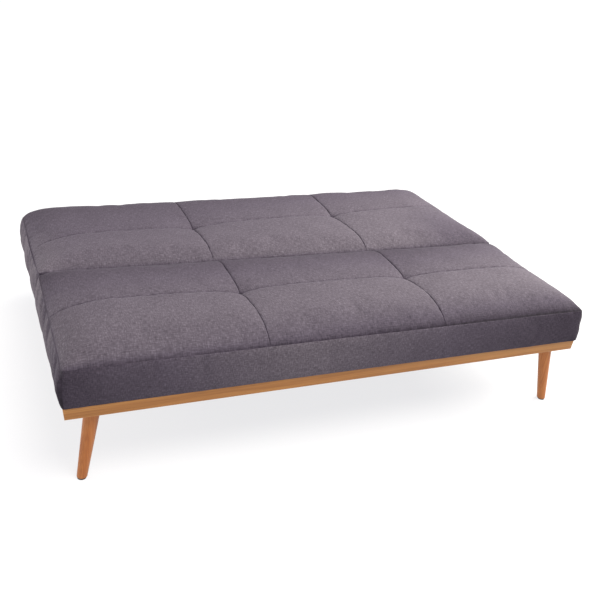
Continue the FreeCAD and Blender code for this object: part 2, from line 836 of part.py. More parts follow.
def save_back():
    y_low = y_back_front + frame_inset
    y_high = y_rear - frame_inset
    x_in = x_back_plate + hinge_plate_thickness
    side = box((x_in, y_low, z_frame), (x_frame, y_high, z_frame_top))
    front = box((-x_back_plate, y_low, z_frame), (x_back_plate, y_low + frame_rail_thickness, z_frame_top))
    rear = box((-x_in, y_high - frame_rail_thickness, z_frame), (x_in, y_high, z_frame_top))
    side = drilled(side, shanks(back_hinge_bolts()))
    save("back_frame_front", front)
    save("back_frame_rear", rear)
    save("back_frame_left", mirrored(side))
    save("back_frame_right", side)
    save("back_slats", section_slats(y_low, y_high))
    save("back_slat_holders", section_holders(y_low, y_high))
    save("back_foam", drilled(make_foam(y_back_front, y_rear, "front"), back_pockets()))
    save("back_cover", drilled(make_cover(y_back_front, y_rear, "front"), back_pockets()))
    save("back_dust_cover", make_dust_cover(y_back_front, y_rear))


os.makedirs("parts", exist_ok=True)
save_base()
save_legs()
save_seat()
save_hinges()
save_back()
print("hinge axis at y", y_junction, "z", z_pivot, "pawl pivots at", pawl_pivot)
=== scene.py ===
import json
import math
import bpy
import bmesh
from mathutils import Matrix, Vector, noise


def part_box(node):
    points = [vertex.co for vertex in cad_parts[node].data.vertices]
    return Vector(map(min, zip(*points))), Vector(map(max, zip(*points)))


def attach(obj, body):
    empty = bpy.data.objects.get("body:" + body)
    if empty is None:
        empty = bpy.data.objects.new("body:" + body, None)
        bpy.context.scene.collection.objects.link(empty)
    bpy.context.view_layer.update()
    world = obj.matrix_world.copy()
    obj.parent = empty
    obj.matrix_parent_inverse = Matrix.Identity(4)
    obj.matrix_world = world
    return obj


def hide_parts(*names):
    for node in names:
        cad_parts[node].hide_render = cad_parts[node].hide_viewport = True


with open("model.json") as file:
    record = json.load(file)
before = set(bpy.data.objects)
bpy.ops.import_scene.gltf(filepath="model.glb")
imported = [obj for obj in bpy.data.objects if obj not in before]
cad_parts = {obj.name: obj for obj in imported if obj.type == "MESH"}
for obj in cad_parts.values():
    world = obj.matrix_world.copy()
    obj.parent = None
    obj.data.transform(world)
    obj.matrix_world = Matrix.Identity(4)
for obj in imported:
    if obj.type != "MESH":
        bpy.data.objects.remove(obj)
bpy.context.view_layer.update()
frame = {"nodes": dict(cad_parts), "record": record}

mm = 0.001
nodes = frame["nodes"]
print("frame loaded:", len(nodes), "nodes")


# camera: stands a little left of the middle, looking down over the front rail
camera = {
    "place": (-1.0814, -2.3185, 1.4841),
    "turn": 26.2468,  # degrees from +Y towards +X
    "down": 26.2975,
    "tilt": 7.1257,
    "focal": 44.395,  # mm
    "sensor": 36,  # mm
    "farthest": 50,  # metres
}


def placeCamera(spec):
    turn, down, tilt = (math.radians(spec[k]) for k in ("turn", "down", "tilt"))
    ahead = math.cos(down)
    forward = Vector((math.sin(turn) * ahead, math.cos(turn) * ahead, -math.sin(down)))
    level = Vector((math.cos(turn), -math.sin(turn), 0))
    upright = level.cross(forward)
    right = level * math.cos(tilt) + upright * math.sin(tilt)
    up = upright * math.cos(tilt) - level * math.sin(tilt)
    lens = bpy.data.cameras.new("camera")
    lens.lens = spec["focal"]
    lens.sensor_width = spec["sensor"]
    lens.clip_end = spec["farthest"]
    rig = bpy.data.objects.new("camera", lens)
    bpy.context.scene.collection.objects.link(rig)
    axes = Matrix((right, up, -forward)).transposed()
    rig.matrix_world = Matrix.Translation(spec["place"]) @ axes.to_4x4()
    bpy.context.scene.camera = rig


placeCamera(camera)
print("camera placed")


def hexColour(code):
    # sRGB hex to the linear colour that a shader takes
    channels = [int(code[i:i + 2], 16) / 255 for i in (1, 3, 5)]
    return [c / 12.92 if c <= 0.04045 else ((c + 0.055) / 1.055) ** 2.4 for c in channels] + [1.0]


def addNode(tree, kind, values=None, links=None, **settings):
    # a node with its sockets' values, what is plugged into them, and its own settings
    made = tree.nodes.new(kind)
    for key, value in settings.items():
        setattr(made, key, value)
    for key, value in (values or {}).items():
        made.inputs[key].default_value = value
    for key, source in (links or {}).items():
        tree.links.new(source, made.inputs[key])
    return made


def newMaterial(name):
    material = bpy.data.materials.new(name)
    material.use_nodes = True
    tree = material.node_tree
    return material, tree, tree.nodes["Principled BSDF"]


def rampBetween(tree, factor, stops):
    ramp = addNode(tree, "ShaderNodeValToRGB", links={"Fac": factor})
    band = ramp.color_ramp
    while len(band.elements) < len(stops):
        band.elements.new(0.5)
    for element, (place, code) in zip(band.elements, stops):
        element.position = place
        element.color = hexColour(code)
    return ramp.outputs["Color"]


def blendColours(tree, factor, first, code):
    # the first colour where factor is 0, the hex colour where it is 1
    blend = addNode(tree, "ShaderNodeMix", {7: hexColour(code)}, {0: factor, 6: first},
                    data_type="RGBA")
    return blend.outputs[2]


def wovenPolyester():
    # heathered plain-weave polyester: crossed slubs in three greys give a soft, mottled, matt cloth
    # with a faint pale bloom where it turns away
    look = {
        "yarns": [(0.40, "#484148"), (0.56, "#5f575f"), (0.72, "#787078")],
        "slubLength": 15 * mm,
        "slubWidth": 3.2 * mm,  # real yarn is 0.4 mm; drawn this coarse so that it shows
        "cloud": 90 * mm,  # size of the broad uneven patches in the dye
        "cloudShare": 0.10,
        "shadeInCrease": 0.45,  # painted shade: brightness left at the bottom of a crease
        # painted shade turns the cloth a little more violet as it deepens
        "shades": [(0.0, "#000000"), (0.3, "#958c9c"), (0.65, "#d2ced9"), (1.0, "#ffffff")],
        "relief": 0.6 * mm,
        "bloom": "#b9b0bd",
    }
    material, tree, shader = newMaterial("wovenPolyester")
    uv = addNode(tree, "ShaderNodeUVMap", uv_map="cloth").outputs["UV"]
    long, wide = 1 / look["slubLength"], 1 / look["slubWidth"]
    threads = []
    for scale in ((wide, long, 1), (long, wide, 1)):  # warp, then weft
        drawn = addNode(tree, "ShaderNodeMapping", {"Scale": scale}, {"Vector": uv})
        slubs = addNode(tree, "ShaderNodeTexNoise", {"Scale": 1.0, "Detail": 3.0, "Roughness": 0.6},
                        {"Vector": drawn.outputs["Vector"]})
        threads.append(slubs.outputs["Fac"])
    both = addNode(tree, "ShaderNodeMath", {}, dict(enumerate(threads)), operation="ADD")
    weave = addNode(tree, "ShaderNodeMath", {1: 0.5}, {0: both.outputs[0]},
                    operation="MULTIPLY").outputs[0]
    cloud = addNode(tree, "ShaderNodeTexNoise", {"Scale": 1 / look["cloud"], "Detail": 2.0},
                    {"Vector": uv}).outputs["Fac"]
    heather = addNode(tree, "ShaderNodeMath", {1: look["cloudShare"]}, {0: cloud, 2: weave},
                      operation="MULTIPLY_ADD")
    colour = rampBetween(tree, heather.outputs[0], look["yarns"])
    # the two attributes read here are painted shade set on each cushion: they darken and tint the cloth
    # along stitching, rims and tufts and towards edges and the junction
    crease = addNode(tree, "ShaderNodeAttribute", attribute_name="crease").outputs["Fac"]
    keep = addNode(tree, "ShaderNodeMapRange", {"To Min": 1.0, "To Max": look["shadeInCrease"]},
                   {"Value": crease})
    tone = addNode(tree, "ShaderNodeAttribute", attribute_name="tone").outputs["Fac"]
    shade = addNode(tree, "ShaderNodeMath", {}, {0: tone, 1: keep.outputs["Result"]},
                    operation="MULTIPLY")
    tint = rampBetween(tree, shade.outputs[0], look["shades"])
    shaded = addNode(tree, "ShaderNodeVectorMath", {}, {0: colour, 1: tint}, operation="MULTIPLY")
    bump = addNode(tree, "ShaderNodeBump", {"Strength": 0.22, "Distance": look["relief"]},
                   {"Height": weave})
    tree.links.new(shaded.outputs["Vector"], shader.inputs["Base Color"])
    tree.links.new(bump.outputs["Normal"], shader.inputs["Normal"])
    shader.inputs["Roughness"].default_value = 0.92
    shader.inputs["Specular IOR Level"].default_value = 0.25
    shader.inputs["Sheen Weight"].default_value = 0.1
    shader.inputs["Sheen Roughness"].default_value = 0.45
    shader.inputs["Sheen Tint"].default_value = hexColour(look["bloom"])
    return material


def solidTimber(name, tones, along, rough):
    # planed timber, finished thinly: long streaks, short dark pores and faint bands show which way
    # the wood was cut, and a cut end takes its own tone. tones: dark, middle, light, end grain
    grain = {
        "streak": 3.0 * mm,
        "streakLength": 220 * mm,
        "pore": 1.2 * mm,
        "poreLength": 14 * mm,
        "band": 26 * mm,
        "bandLength": 660 * mm,
        "mix": (0.55, 0.45),  # share of the streaks and of the bands
        "stops": (0.36, 0.50, 0.64),
        "poreDepth": 0.35,
        "relief": 0.2 * mm,
    }
    material, tree, shader = newMaterial(name)
    place = addNode(tree, "ShaderNodeTexCoord").outputs["Object"]

    def stretched(across, length):
        scale = [1 / across] * 3
        scale["XYZ".index(along)] = 1 / length
        return addNode(tree, "ShaderNodeMapping", {"Scale": scale}, {"Vector": place}).outputs["Vector"]

    streak = addNode(tree, "ShaderNodeTexNoise",
                     {"Scale": 1.0, "Detail": 4.0, "Roughness": 0.55, "Distortion": 0.35},
                     {"Vector": stretched(grain["streak"], grain["streakLength"])})
    band = addNode(tree, "ShaderNodeTexNoise", {"Scale": 1.0, "Detail": 2.0, "Distortion": 0.8},
                   {"Vector": stretched(grain["band"], grain["bandLength"])})
    pore = addNode(tree, "ShaderNodeTexNoise", {"Scale": 1.0, "Detail": 1.0},
                   {"Vector": stretched(grain["pore"], grain["poreLength"])})
    streakShare, bandShare = grain["mix"]
    figure = addNode(tree, "ShaderNodeMath", {1: streakShare}, {0: streak.outputs["Fac"]},
                     operation="MULTIPLY")
    figure = addNode(tree, "ShaderNodeMath", {1: bandShare},
                     {0: band.outputs["Fac"], 2: figure.outputs[0]}, operation="MULTIPLY_ADD")
    wood = rampBetween(tree, figure.outputs[0], list(zip(grain["stops"], tones)))
    poreMask = addNode(tree, "ShaderNodeMapRange",
                       {"From Min": 0.62, "From Max": 0.74, "To Max": grain["poreDepth"]},
                       {"Value": pore.outputs["Fac"]})
    colour = blendColours(tree, poreMask.outputs["Result"], wood, tones[0])
    normal = addNode(tree, "ShaderNodeNewGeometry").outputs["True Normal"]
    facing = addNode(tree, "ShaderNodeSeparateXYZ", {}, {"Vector": normal}).outputs[along]
    cut = addNode(tree, "ShaderNodeMath", {}, {0: facing}, operation="ABSOLUTE")
    # only faces square to the grain count as cut ends
    endGrain = addNode(tree, "ShaderNodeMapRange", {"From Min": 0.9, "From Max": 0.97},
                       {"Value": cut.outputs[0]})
    colour = blendColours(tree, endGrain.outputs["Result"], colour, tones[3])
    bump = addNode(tree, "ShaderNodeBump", {"Strength": 0.12, "Distance": grain["relief"]},
                   {"Height": figure.outputs[0]})
    tree.links.new(colour, shader.inputs["Base Color"])
    tree.links.new(bump.outputs["Normal"], shader.inputs["Normal"])
    shader.inputs["Roughness"].default_value = rough
    shader.inputs["Specular IOR Level"].default_value = 0.35
    shader.inputs["Coat Weight"].default_value = 0.06
    shader.inputs["Coat Roughness"].default_value = 0.35
    return material


def speckled(name, code, second, spot, rough, metallic=0.0, relief=0.05 * mm, specular=0.5):
    # an even finish: a small two-tone mottle and a matching bump keep it from looking like flat paint
    material, tree, shader = newMaterial(name)
    place = addNode(tree, "ShaderNodeTexCoord").outputs["Object"]
    mottle = addNode(tree, "ShaderNodeTexNoise", {"Scale": 1 / spot, "Detail": 3.0, "Roughness": 0.6},
                     {"Vector": place}).outputs["Fac"]
    colour = rampBetween(tree, mottle, [(0.35, code), (0.65, second)])
    bump = addNode(tree, "ShaderNodeBump", {"Strength": 0.3, "Distance": relief}, {"Height": mottle})
    tree.links.new(colour, shader.inputs["Base Color"])
    tree.links.new(bump.outputs["Normal"], shader.inputs["Normal"])
    shader.inputs["Roughness"].default_value = rough
    shader.inputs["Metallic"].default_value = metallic
    shader.inputs["Specular IOR Level"].default_value = specular
    return material


coverCloth = wovenPolyester()

# oak under satin lacquer: warm honey streaks with a low shine, a little redder on the turned legs
railOak = solidTimber("lacqueredOakRail", ("#95602c", "#a87038", "#b47e42", "#c9a070"), "X", 0.42)
legOak = solidTimber("lacqueredOakLeg", ("#9c5826", "#ae6830", "#b9753b", "#c09060"), "Z", 0.40)

# sawn pine, left bare inside and underneath: pale, dry and dull
pineTones = ("#a98453", "#c9a876", "#d8bd8e", "#b99a6c")
sawnPine = solidTimber("sawnPine", pineTones, "X", 0.7)
sawnPineDeep = solidTimber("sawnPineDeep", pineTones, "Y", 0.7)  # for members that run front to back

# glued birch veneers: smooth and light
birchSlat = solidTimber("laminatedBirch", ("#b98f5c", "#d3b080", "#e0c497", "#b08a5c"), "Y", 0.5)

# zinc plating reads pale and slightly clouded, drawn spring wire darker
zincSteel = speckled("zincPlatedSteel", "#a9abae", "#bfc1c4", 1.5 * mm, 0.34, metallic=1.0)
springSteel = speckled("springSteel", "#6f7072", "#8b8c8e", 1.0 * mm, 0.3, metallic=1.0)

# moulded blacks: a soft shine on the slat holders and glides, none on the rubber
blackPlastic = speckled("mouldedPolypropylene", "#0f0f10", "#1a1a1c", 0.6 * mm, 0.55)
padRubber = speckled("mouldedRubber", "#121212", "#1d1d1d", 0.8 * mm, 0.8)
glideNylon = speckled("mouldedNylon", "#191716", "#25221f", 0.6 * mm, 0.5)

# spunbond felt: thin, black and dead matt
dustCloth = speckled("spunbondPolypropylene", "#0c0c0d", "#1c1c1e", 1.2 * mm, 0.95,
                     relief=0.15 * mm, specular=0.2)

finishes = {
    "rail_wood": railOak,
    "leg_wood": legOak,
    "frame_wood": sawnPine,
    "slat_wood": birchSlat,
    "slat_holder_plastic": blackPlastic,
    "cover_fabric": coverCloth,
    "dust_cloth": dustCloth,
    "cushion_foam": dustCloth,  # never seen: the cushions take its place
    "zinc_steel": zincSteel,
    "spring_steel": springSteel,
    "pad_rubber": padRubber,
    "glide_plastic": glideNylon,
}


def dress(piece, material):
    piece.data.materials.clear()
    piece.data.materials.append(material)


slotOf = {row["node"]: row["material_slot"] for row in frame["record"]["subparts"]}
for name, piece in nodes.items():
    frontToBack = "bearer" in name or name.endswith(("frame_left", "frame_right"))
    dress(piece, sawnPineDeep if frontToBack else finishes[slotOf[name]])
print("finishes on the frame")


hair = 0.01 * mm  # closer than this is touching

seams = {
    "depthwise": (-309 * mm, 309 * mm),  # x of the two deep seams
    "offsets": (1.2 * mm, 2.8 * mm, 6.5 * mm),  # grid lines kept beside every seam
    "grid": (14 * mm, 10.5 * mm, 12 * mm),  # spacing of the other grid lines
}

# how any cushion here is filled and sewn; a pair is a depth or height and how far it reaches
padding = {
    "shoulder": (2.1, 0.7),  # how full the crown is, and how soon it rises from its edge
    "crownSides": 200 * mm,
    "crownCorners": 0.35,
    "slack": (1.3 * mm, 9, 26, 0.4),  # height, broad and fine waves, share of the fine ones
    "cornerPinch": (4 * mm, 45 * mm),
    "seamValley": (6.5 * mm, 85 * mm),
    "rowValley": (4.5 * mm, 55 * mm),
    "valleySharpness": 1.1,
    "tuftDepth": 15 * mm,
    "pucker": (0.8 * mm, 45 * mm, 32 * mm),  # height, and the ring round the tuft that it fills
    "puckerFolds": (5, 9, 0.6),
    "stitchWidth": (1.2 * mm, 1.5 * mm),  # of the depthwise and the lengthwise stitching
    "rowStitchShade": (0.75, 0.9),  # how dark the painted shade along the lengthwise stitching is, up to the right seam and past it
    # how dark the painted shade in a tuft's dimple is, and how far the dimple reaches
    "dimple": (0.9, 8 * mm),
    "dimpleDepth": 3.5 * mm,
    "grooveDepth": 2.6 * mm,
    "grooveFade": (4 * mm, 14 * mm),  # towards the rim
    "rimGroove": (2.2 * mm, 2 * mm),
    "junctionCorner": 14 * mm,
    "leanStarts": (0.3, 0.5),  # share of the height, and over how much it grows
    "underside": (1.8 * mm, 26 * mm, 8 * mm),  # drawn up inside the frame by this much
    "belly": (1.15, 0.7),
    "swell": {"end": 7 * mm, "junction": 1.5 * mm, "long": 4.5 * mm},
    "swellEnds": (0.35, 0.65, 60 * mm),
    "pull": (9, 9, 70 * mm),  # mm of pleat all over the end panels, mm more under the seam, reach
    "fold": {
        "slant": 0.45,
        "broad": (22, 3),  # waves per metre along the panel and up it
        "fine": (46, 5),
        "fineShare": 0.45,
        "ridge": 0.25,  # how far a ridge stands above the middle of the wrinkle
    },
    "ripple": (0.9 * mm, 10, 6),
    "seamTuck": (2.4 * mm, 2 * mm),
    # how far in the painted shade reaches from the rim and from the junction
    "rimCreaseShade": 1.5 * mm,
    "junctionCreaseShade": 4 * mm,
}

# soft shade painted into the cloth; a pair is how much and how far in from its edge
paintedShade = {
    "endFade": 130 * mm,
    "endCorner": (0.9, 60 * mm, 0.3),  # the last is how much less it is at the top
    "endPanel": (0.84, 0.5),  # level of the panel, and how much a ridge adds or a fold takes
    "longLeft": (0.60, 660 * mm),
    "longRight": (0.70, 1050 * mm),
    "longFoot": (0.94, 0.06),
}

cushions = {
    "seatCushion": {
        "cover": "seat_cover",
        "foam": "seat_foam",
        "body": "base",
        "junction": "rear",
        "tuftRow": -313 * mm,  # y of the lengthwise seam
        "tuftSpread": (62 * mm, 46 * mm),  # a pair is the left end or tuft, then the right
        "edgeSeam": (388 * mm, 388 * mm),  # height of the boxing seam away from the junction
        "junctionSeam": (408 * mm, 410 * mm),  # and beside it
        "junctionReach": 105 * mm,
        "farReach": (150 * mm, 170 * mm),  # how far in the crown takes to rise
        "peak": (449 * mm, 450 * mm),
        "lean": 0.0,
        "rowSkew": 0.0,
        "cornerRadius": 12 * mm,
        "farEdgeShade": (0.12, 0.75, 70 * mm, 50 * mm),  # painted shade towards the far edge: how much left and right, reach left and right
        "footSpread": (3 * mm, 9 * mm),
        # how far in the painted shade at the far rim reaches
        "rimShadeReach": 4 * mm,
        "junctionShade": (0.73, 200 * mm),  # painted shade along the junction: how much, and how far it reaches
        # painted shade over the top, how much at the left end and at the right, fading out close to the
        # left edge
        "endShade": (0.08, -0.04),
        "spot": (420 * mm, -50 * mm, 180 * mm, 0.22),  # x, y, reach and depth of a patch of painted shade
        "seed": 3.0,
    },
    "backCushion": {
        "cover": "back_cover",
        "foam": "back_foam",
        "body": "back",
        "junction": "front",
        "tuftRow": 272 * mm,
        "tuftSpread": (60 * mm, 50 * mm),
        "edgeSeam": (379 * mm, 408 * mm),
        "junctionSeam": (406 * mm, 410 * mm),
        "junctionReach": 120 * mm,
        "farReach": (155 * mm, 92 * mm),
        "peak": (444 * mm, 453 * mm),
        "lean": 18 * mm,  # the filling has crept back a little at the right end
        "rowSkew": 0.08,  # the lengthwise row is sewn a little out of square
        "cornerRadius": 28 * mm,
        "farEdgeShade": (0.66, 0.50, 270 * mm, 270 * mm),
        "footSpread": (3 * mm, 3 * mm),
        "rimShadeReach": 10 * mm,
        "junctionShade": (0.0, 90 * mm),
        "endShade": (0.17, 0.0),
        "spot": (790 * mm, 20 * mm, 190 * mm, 0.38),
        "seed": 11.0,
    },
}


def gridLines(low, high, step, marks, offsets):
    # where to cut between low and high: at each mark, close beside it, and evenly in between
    stops = {low, high}
    beside = [0] + [side * offset for offset in offsets for side in (-1, 1)]
    for mark in marks:
        stops.update(mark + offset for offset in beside if low < mark + offset < high)
    stops = sorted(stops)
    lines = []
    for a, b in zip(stops, stops[1:]):
        cuts = max(1, round((b - a) / step))
        lines += [a + (b - a) * i / cuts for i in range(cuts)]
    return lines[1:]


def gridBlock(low, high, cuts):
    # a box cut along planes of x, y and z
    form = bmesh.new()
    bmesh.ops.create_cube(form, size=1)
    bmesh.ops.scale(form, vec=[b - a for a, b in zip(low, high)], verts=form.verts)
    bmesh.ops.translate(form, vec=(Vector(low) + Vector(high)) / 2, verts=form.verts)
    for axis in (0, 2, 1):
        normal = Vector((0, 0, 0))
        normal[axis] = 1
        for line in cuts[axis]:
            bmesh.ops.bisect_plane(form, geom=form.verts[:] + form.edges[:] + form.faces[:], dist=1e-6,
                                   plane_co=normal * line, plane_no=normal)
    return form


def edgeRise(distance, reach):
    # how far a crowned panel has risen at some distance in from its edge seam, 0 to 1
    full, soon = padding["shoulder"]
    inward = min(1.0, max(0.0, distance / reach))
    return (1 - (1 - inward) ** full) ** soon


def smooth(value):
    value = min(1.0, max(0.0, value))
    return value * value * (3 - 2 * value)


class CushionForm:
    def __init__(self, spec):
        self.spec = spec
        self.low, self.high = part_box(spec["cover"])
        rear = spec["junction"] == "rear"
        self.yJunction = self.high.y if rear else self.low.y
        self.yFar = self.low.y if rear else self.high.y
        spreads = zip(seams["depthwise"], spec["tuftSpread"])
        self.tufts = [(x, spec["tuftRow"], spread) for x, spread in spreads]

    def fromJunction(self, y):
        return abs(y - self.yJunction) / (self.high.y - self.low.y)

    def upSide(self, z):
        return (z - self.low.z) / (self.high.z - self.low.z)

    def onTop(self, z):
        return z > self.high.z - hair

    def onEnd(self, x):
        return abs(x) > self.high.x - hair

    def acrossWidth(self, pair, x):
        # between the value at the left end and the value at the right end
        t = smooth((x - self.low.x) / (self.high.x - self.low.x))
        return pair[0] + (pair[1] - pair[0]) * t

    def seamHeight(self, x, y):
        spec = self.spec
        depth, reach = padding["cornerPinch"]
        away = self.fromJunction(y)
        far = self.acrossWidth(spec["edgeSeam"], x)
        height = far + (self.acrossWidth(spec["junctionSeam"], x) - far) * (1 - away) ** 3
        fromCorner = self.high.x - abs(x) + abs(y - self.yFar)
        return height - depth * math.exp(-fromCorner / reach)

    def valleys(self, x, y):
        # how far the sewing pulls the crown down
        spec = self.spec
        sharp = padding["valleySharpness"]
        depth, reach = padding["seamValley"]
        drop = sum(depth * math.exp(-(abs(x - seam) / reach) ** sharp) for seam in seams["depthwise"])
        depth, reach = padding["rowValley"]
        drop += depth * math.exp(-(abs(y - spec["tuftRow"]) / reach) ** sharp)
        height, ring, ringWidth = padding["pucker"]
        broad, fine, fineShare = padding["puckerFolds"]
        for xTuft, yTuft, spread in self.tufts:
            away = math.hypot(x - xTuft, y - yTuft)
            angle = math.atan2(y - yTuft, x - xTuft)
            drop += padding["tuftDepth"] * math.exp(-away / spread)
            pucker = math.sin(broad * angle + spec["seed"])
            pucker += fineShare * math.sin(fine * angle + 2 * spec["seed"])
            drop += height * pucker * math.exp(-((away - ring) / ringWidth) ** 2)
        return drop

    def crease(self, x, y):
        # 0 to 1 where the stitches draw the cloth in, sharpest on the seam itself; it sets how deep the
        # groove sinks and how much painted shade the cloth takes there
        wide, wideRow = padding["stitchWidth"]
        deep = max(math.exp(-abs(x - seam) / wide) for seam in seams["depthwise"])
        fainter = padding["rowStitchShade"][0 if x < seams["depthwise"][1] else 1]
        shallow = fainter * math.exp(-abs(y - self.spec["tuftRow"]) / wideRow)
        return max(deep, shallow, padding["dimple"][0] * self.dimple(x, y))

    def dimple(self, x, y):
        return max(math.exp(-((x - xTuft) ** 2 + (y - yTuft) ** 2) / padding["dimple"][1] ** 2)
                   for xTuft, yTuft, spread in self.tufts)

    def groove(self, x, y):
        # how far a line of stitches sinks into the top
        fade, over = padding["grooveFade"]
        depth, reach = padding["rimGroove"]
        edge = self.edgeDistance(x, y)
        sewn = padding["grooveDepth"] * self.crease(x, y) * smooth((edge + fade) / over)
        return sewn + padding["dimpleDepth"] * self.dimple(x, y) + depth * math.exp(-edge / reach)

    def edgeDistance(self, x, y):
        return min(self.high.x - abs(x), abs(y - self.yFar), abs(y - self.yJunction))

    def rowShift(self, x, y):
        # how far the skewed row carries a point of the top along y
        spec = self.spec
        row = abs(spec["tuftRow"] - self.yJunction)
        span = self.high.y - self.low.y
        away = abs(y - self.yJunction)
        share = away / row if away < row else (span - away) / (span - row)
        return spec["rowSkew"] * x * smooth(share)

    def topHeight(self, x, y):
        spec = self.spec
        sides = edgeRise(self.high.x - abs(x), padding["crownSides"])
        ends = edgeRise(abs(y - self.yFar), self.acrossWidth(spec["farReach"], x))
        ends *= edgeRise(abs(y - self.yJunction), spec["junctionReach"])
        rise = min(sides, ends) * max(sides, ends) ** padding["crownCorners"]
        seam = self.seamHeight(x, y)
        peak = self.acrossWidth(spec["peak"], x)
        height, broad, fine, fineShare = padding["slack"]
        slack = noise.noise(Vector((x * broad, y * broad, spec["seed"])))
        slack += fineShare * noise.noise(Vector((x * fine, y * fine, spec["seed"])))
        return seam + (peak - seam) * rise - self.valleys(x, y) * rise + height * slack * rise

    def plan(self, x, y, corner):
        # squares off the box's corner onto a quarter round
        inRear = y > (self.low.y + self.high.y) / 2
        xMid = math.copysign(self.high.x - corner, x)
        yMid = self.high.y - corner if inRear else self.low.y + corner
        dx = x - xMid
        dy = y - yMid
        if dx * math.copysign(1, x) <= 0 or dy * (1 if inRear else -1) <= 0:
            return x, y
        reach = max(abs(dx), abs(dy)) / math.hypot(dx, dy)
        return xMid + dx * reach, yMid + dy * reach

    def sideFold(self, x, y, z):
        # slanting pull wrinkles on the end panels, about -0.5 in a fold to 0.6 on a ridge
        fold = padding["fold"]
        side = math.copysign(1, x)
        slant = y + fold["slant"] * z * side
        along, upward = fold["broad"]
        broad = noise.noise(Vector((slant * along, z * upward, 7 * side + self.spec["seed"])))
        along, upward = fold["fine"]
        fine = noise.noise(Vector((slant * along, z * upward, 5 * side)))
        return (fold["ridge"] - abs(broad)) * 2 + fold["fineShare"] * fine

    def place(self, point):
        # where a point of the plain block belongs on the filled cushion
        spec = self.spec
        x, y, z = point
        nearJunction = self.fromJunction(y) < 0.5
        px, py = self.plan(x, y, padding["junctionCorner"] if nearJunction else spec["cornerRadius"])
        t = self.upSide(z)
        start, over = padding["leanStarts"]
        py += spec["lean"] * (x / self.high.x) * self.fromJunction(y) ** 3 * smooth((t - start) / over)
        if self.onTop(z):
            return Vector((px, py + self.rowShift(x, y), self.topHeight(x, y)))
        if z < self.low.z + hair:
            lift, inset, over = padding["underside"]
            inside = smooth((self.edgeDistance(x, y) - inset) / over)
            return Vector((px, py, self.low.z + lift * inside))
        height = self.low.z + t * (self.seamHeight(x, y) - self.low.z)
        return Vector((px, py, height)) + self.bulge(x, y, z)

    def bulge(self, x, y, z):
        # how far a side panel stands out
        spec = self.spec
        t = self.upSide(z)
        outward = Vector((0, 0, 0))
        if self.onEnd(x):
            outward.x = math.copysign(1, x)
        if y > self.high.y - hair:
            outward.y = 1
        if y < self.low.y + hair:
            outward.y = -1
        facingJunction = outward.y and abs(y - self.yJunction) < hair
        low, high = padding["belly"]
        belly = math.sin(math.pi * t ** low) ** high
        underSeam = (1 - t) * (self.high.z - self.low.z)
        if outward.x and not outward.y:
            swell = padding["swell"]["end"]
            plain, pulled, reach = padding["pull"]
            pull = math.exp(-underSeam / reach)
            pleat = (plain + pulled * pull) * mm * self.sideFold(x, y, z)
        else:
            swell = padding["swell"]["junction" if facingJunction else "long"]
            height, along, upward = padding["ripple"]
            pleat = height * noise.noise(Vector((x * along, z * upward, spec["seed"] + y)))
        least, more, fade = padding["swellEnds"]
        middle = smooth((self.high.x - abs(x)) / fade) if outward.y else 1.0
        out = (swell * (least + more * middle) + pleat) * belly
        out += (0.0 if facingJunction else self.acrossWidth(spec["footSpread"], x)) * (1 - t)
        depth, reach = padding["seamTuck"]
        out -= depth * math.exp(-underSeam / reach)
        return outward * out

    def creaseShade(self, x, y, z):
        # 0 to 1, how much painted shade a point takes for lying in a crease, on a stitched line or at a
        # rim
        if not self.onTop(z):
            return math.exp(-(self.high.z - z) / padding["rimCreaseShade"])
        sideEdge = math.exp(-(self.high.x - abs(x)) / padding["rimCreaseShade"])
        farEdge = math.exp(-abs(y - self.yFar) / self.spec["rimShadeReach"])
        junctionEdge = math.exp(-abs(y - self.yJunction) / padding["junctionCreaseShade"])
        return max(self.crease(x, y), sideEdge, farEdge, junctionEdge)

    def tone(self, x, y, z):
        # 1 for the plain cloth, less where shade is painted towards an edge, a fold or the junction
        if self.onTop(z):
            return self.topShade(x, y)
        t = self.upSide(z)
        if self.onEnd(x):
            shade, reach, lessAbove = paintedShade["endCorner"]
            level, contrast = paintedShade["endPanel"]
            corner = math.exp(-abs(y - self.yFar) / reach) * (1 - lessAbove * t)
            return (1 - shade * corner) * (level + contrast * self.sideFold(x, y, z))
        shadeLeft, reachLeft = paintedShade["longLeft"]
        shadeRight, reachRight = paintedShade["longRight"]
        leftEnd = max(0.0, 1 - (x - self.low.x) / reachLeft)
        rightEnd = max(0.0, 1 - (self.high.x - x) / reachRight)
        foot, more = paintedShade["longFoot"]
        return (1 - shadeLeft * leftEnd - shadeRight * rightEnd) * (foot + more * t)

    def topShade(self, x, y):
        # painted shade on the top: along the junction, across the width, in a patch and towards the far
        # edge
        spec = self.spec
        shade, reach = spec["junctionShade"]
        tone = 1 - shade * math.exp(-abs(y - self.yJunction) / reach)
        inward = smooth((x - self.low.x) / paintedShade["endFade"])
        tone *= 1 - self.acrossWidth(spec["endShade"], x) * inward
        xSpot, ySpot, reach, shade = spec["spot"]
        tone *= 1 - shade * math.exp(-((x - xSpot) ** 2 + (y - ySpot) ** 2) / reach ** 2)
        shade = self.acrossWidth(spec["farEdgeShade"][:2], x)
        reach = self.acrossWidth(spec["farEdgeShade"][2:], x)
        return tone * (1 - shade * math.exp(-abs(y - self.yFar) / reach))


def clothMap(form):
    # flat cutting-pattern coordinates in metres, by which way each panel faces
    layer = form.loops.layers.uv.new("cloth")
    for face in form.faces:
        normal = face.normal
        for loop in face.loops:
            x, y, z = loop.vert.co
            if abs(normal.z) > 0.5:  # the top and the underside
                loop[layer].uv = (x, y)
            elif abs(normal.y) > abs(normal.x):
                loop[layer].uv = (x, z)
            else:
                loop[layer].uv = (y, z)


